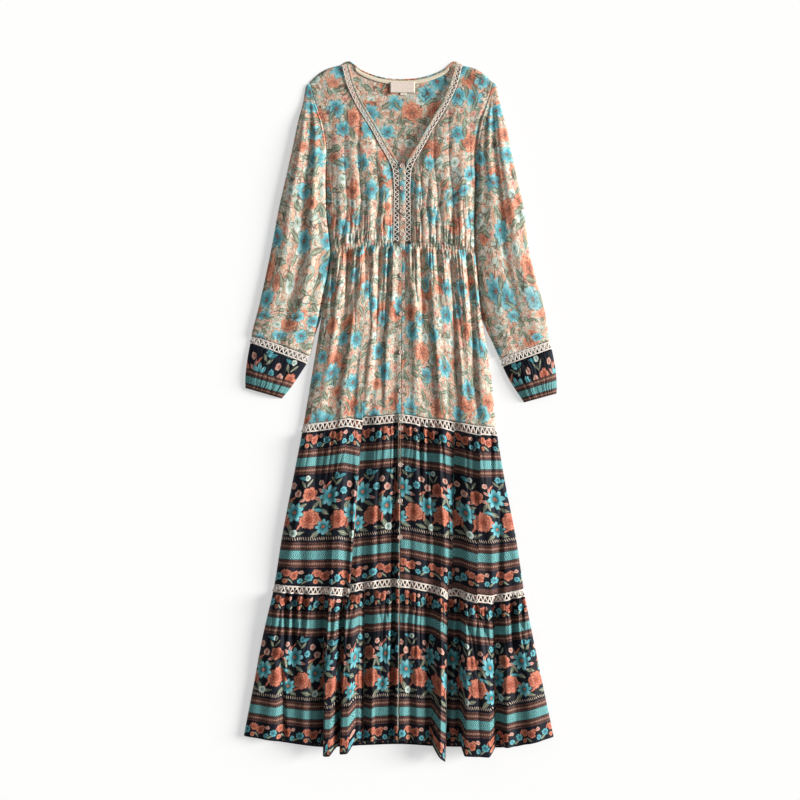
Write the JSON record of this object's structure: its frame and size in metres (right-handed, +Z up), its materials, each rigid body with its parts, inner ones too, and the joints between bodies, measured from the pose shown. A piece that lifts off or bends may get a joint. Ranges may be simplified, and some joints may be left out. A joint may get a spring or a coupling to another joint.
{
  "type": "maxi dress",
  "caption": "Long-sleeved tiered maxi dress laid flat: button front, V-neck and tiers edged with open lace, gathered waist and cuffs, folded hem.",
  "frame": {"origin": "middle of the underside's outline, on the surface that the dress lies on", "axes": "+Y towards the neck, -Y towards the hem, +X to the right seen from above the front, +Z up out of the front"},
  "size_m": [0.6289, 1.3906, 0.0326],
  "materials": {
    "floral_print": "light viscose with an all-over flower print, soft sheen",
    "border_print": "dark viscose with a banded border print, soft sheen",
    "lace": "matt cream cotton lace",
    "tape": "cream woven tape",
    "label": "satin woven label, bare",
    "button": "pale rose resin, slightly glossy"
  },
  "bodies": {
    "root": {"bodice_back": "floral_print", "bodice_front_left": "floral_print", "bodice_front_right": "floral_print", "button_bodice_1": "button", "button_bodice_2": "button", "button_bodice_3": "button", "button_bodice_4": "button", "button_skirt_1": "button", "button_skirt_2": "button", "button_skirt_3": "button", "button_skirt_4": "button", "button_skirt_5": "button", "button_skirt_6": "button", "button_skirt_7": "button", "button_skirt_8": "button", "cuff_left_back": "border_print", "cuff_left_front": "border_print", "cuff_right_back": "border_print", "cuff_right_front": "border_print", "lace_lower_back": "lace", "lace_lower_left": "lace", "lace_lower_right": "lace", "lace_upper_back": "lace", "lace_upper_left": "lace", "lace_upper_right": "lace", "neck_band_left": "floral_print", "neck_band_right": "floral_print", "neck_label": "label", "neck_lace_left": "lace", "neck_lace_right": "lace", "neck_tape": "tape", "placket_bodice": "floral_print", "placket_skirt": "floral_print", "size_tab": "label", "skirt_lower_back": "border_print", "skirt_lower_left": "border_print", "skirt_lower_right": "border_print", "skirt_middle_back": "border_print", "skirt_middle_left": "border_print", "skirt_middle_right": "border_print", "skirt_upper_back": "floral_print", "skirt_upper_left": "floral_print", "skirt_upper_right": "floral_print", "sleeve_lace_left_back": "lace", "sleeve_lace_left_front": "lace", "sleeve_lace_right_back": "lace", "sleeve_lace_right_front": "lace", "sleeve_left_back": "floral_print", "sleeve_left_front": "floral_print", "sleeve_right_back": "floral_print", "sleeve_right_front": "floral_print"}
  },
  "joints": []
}
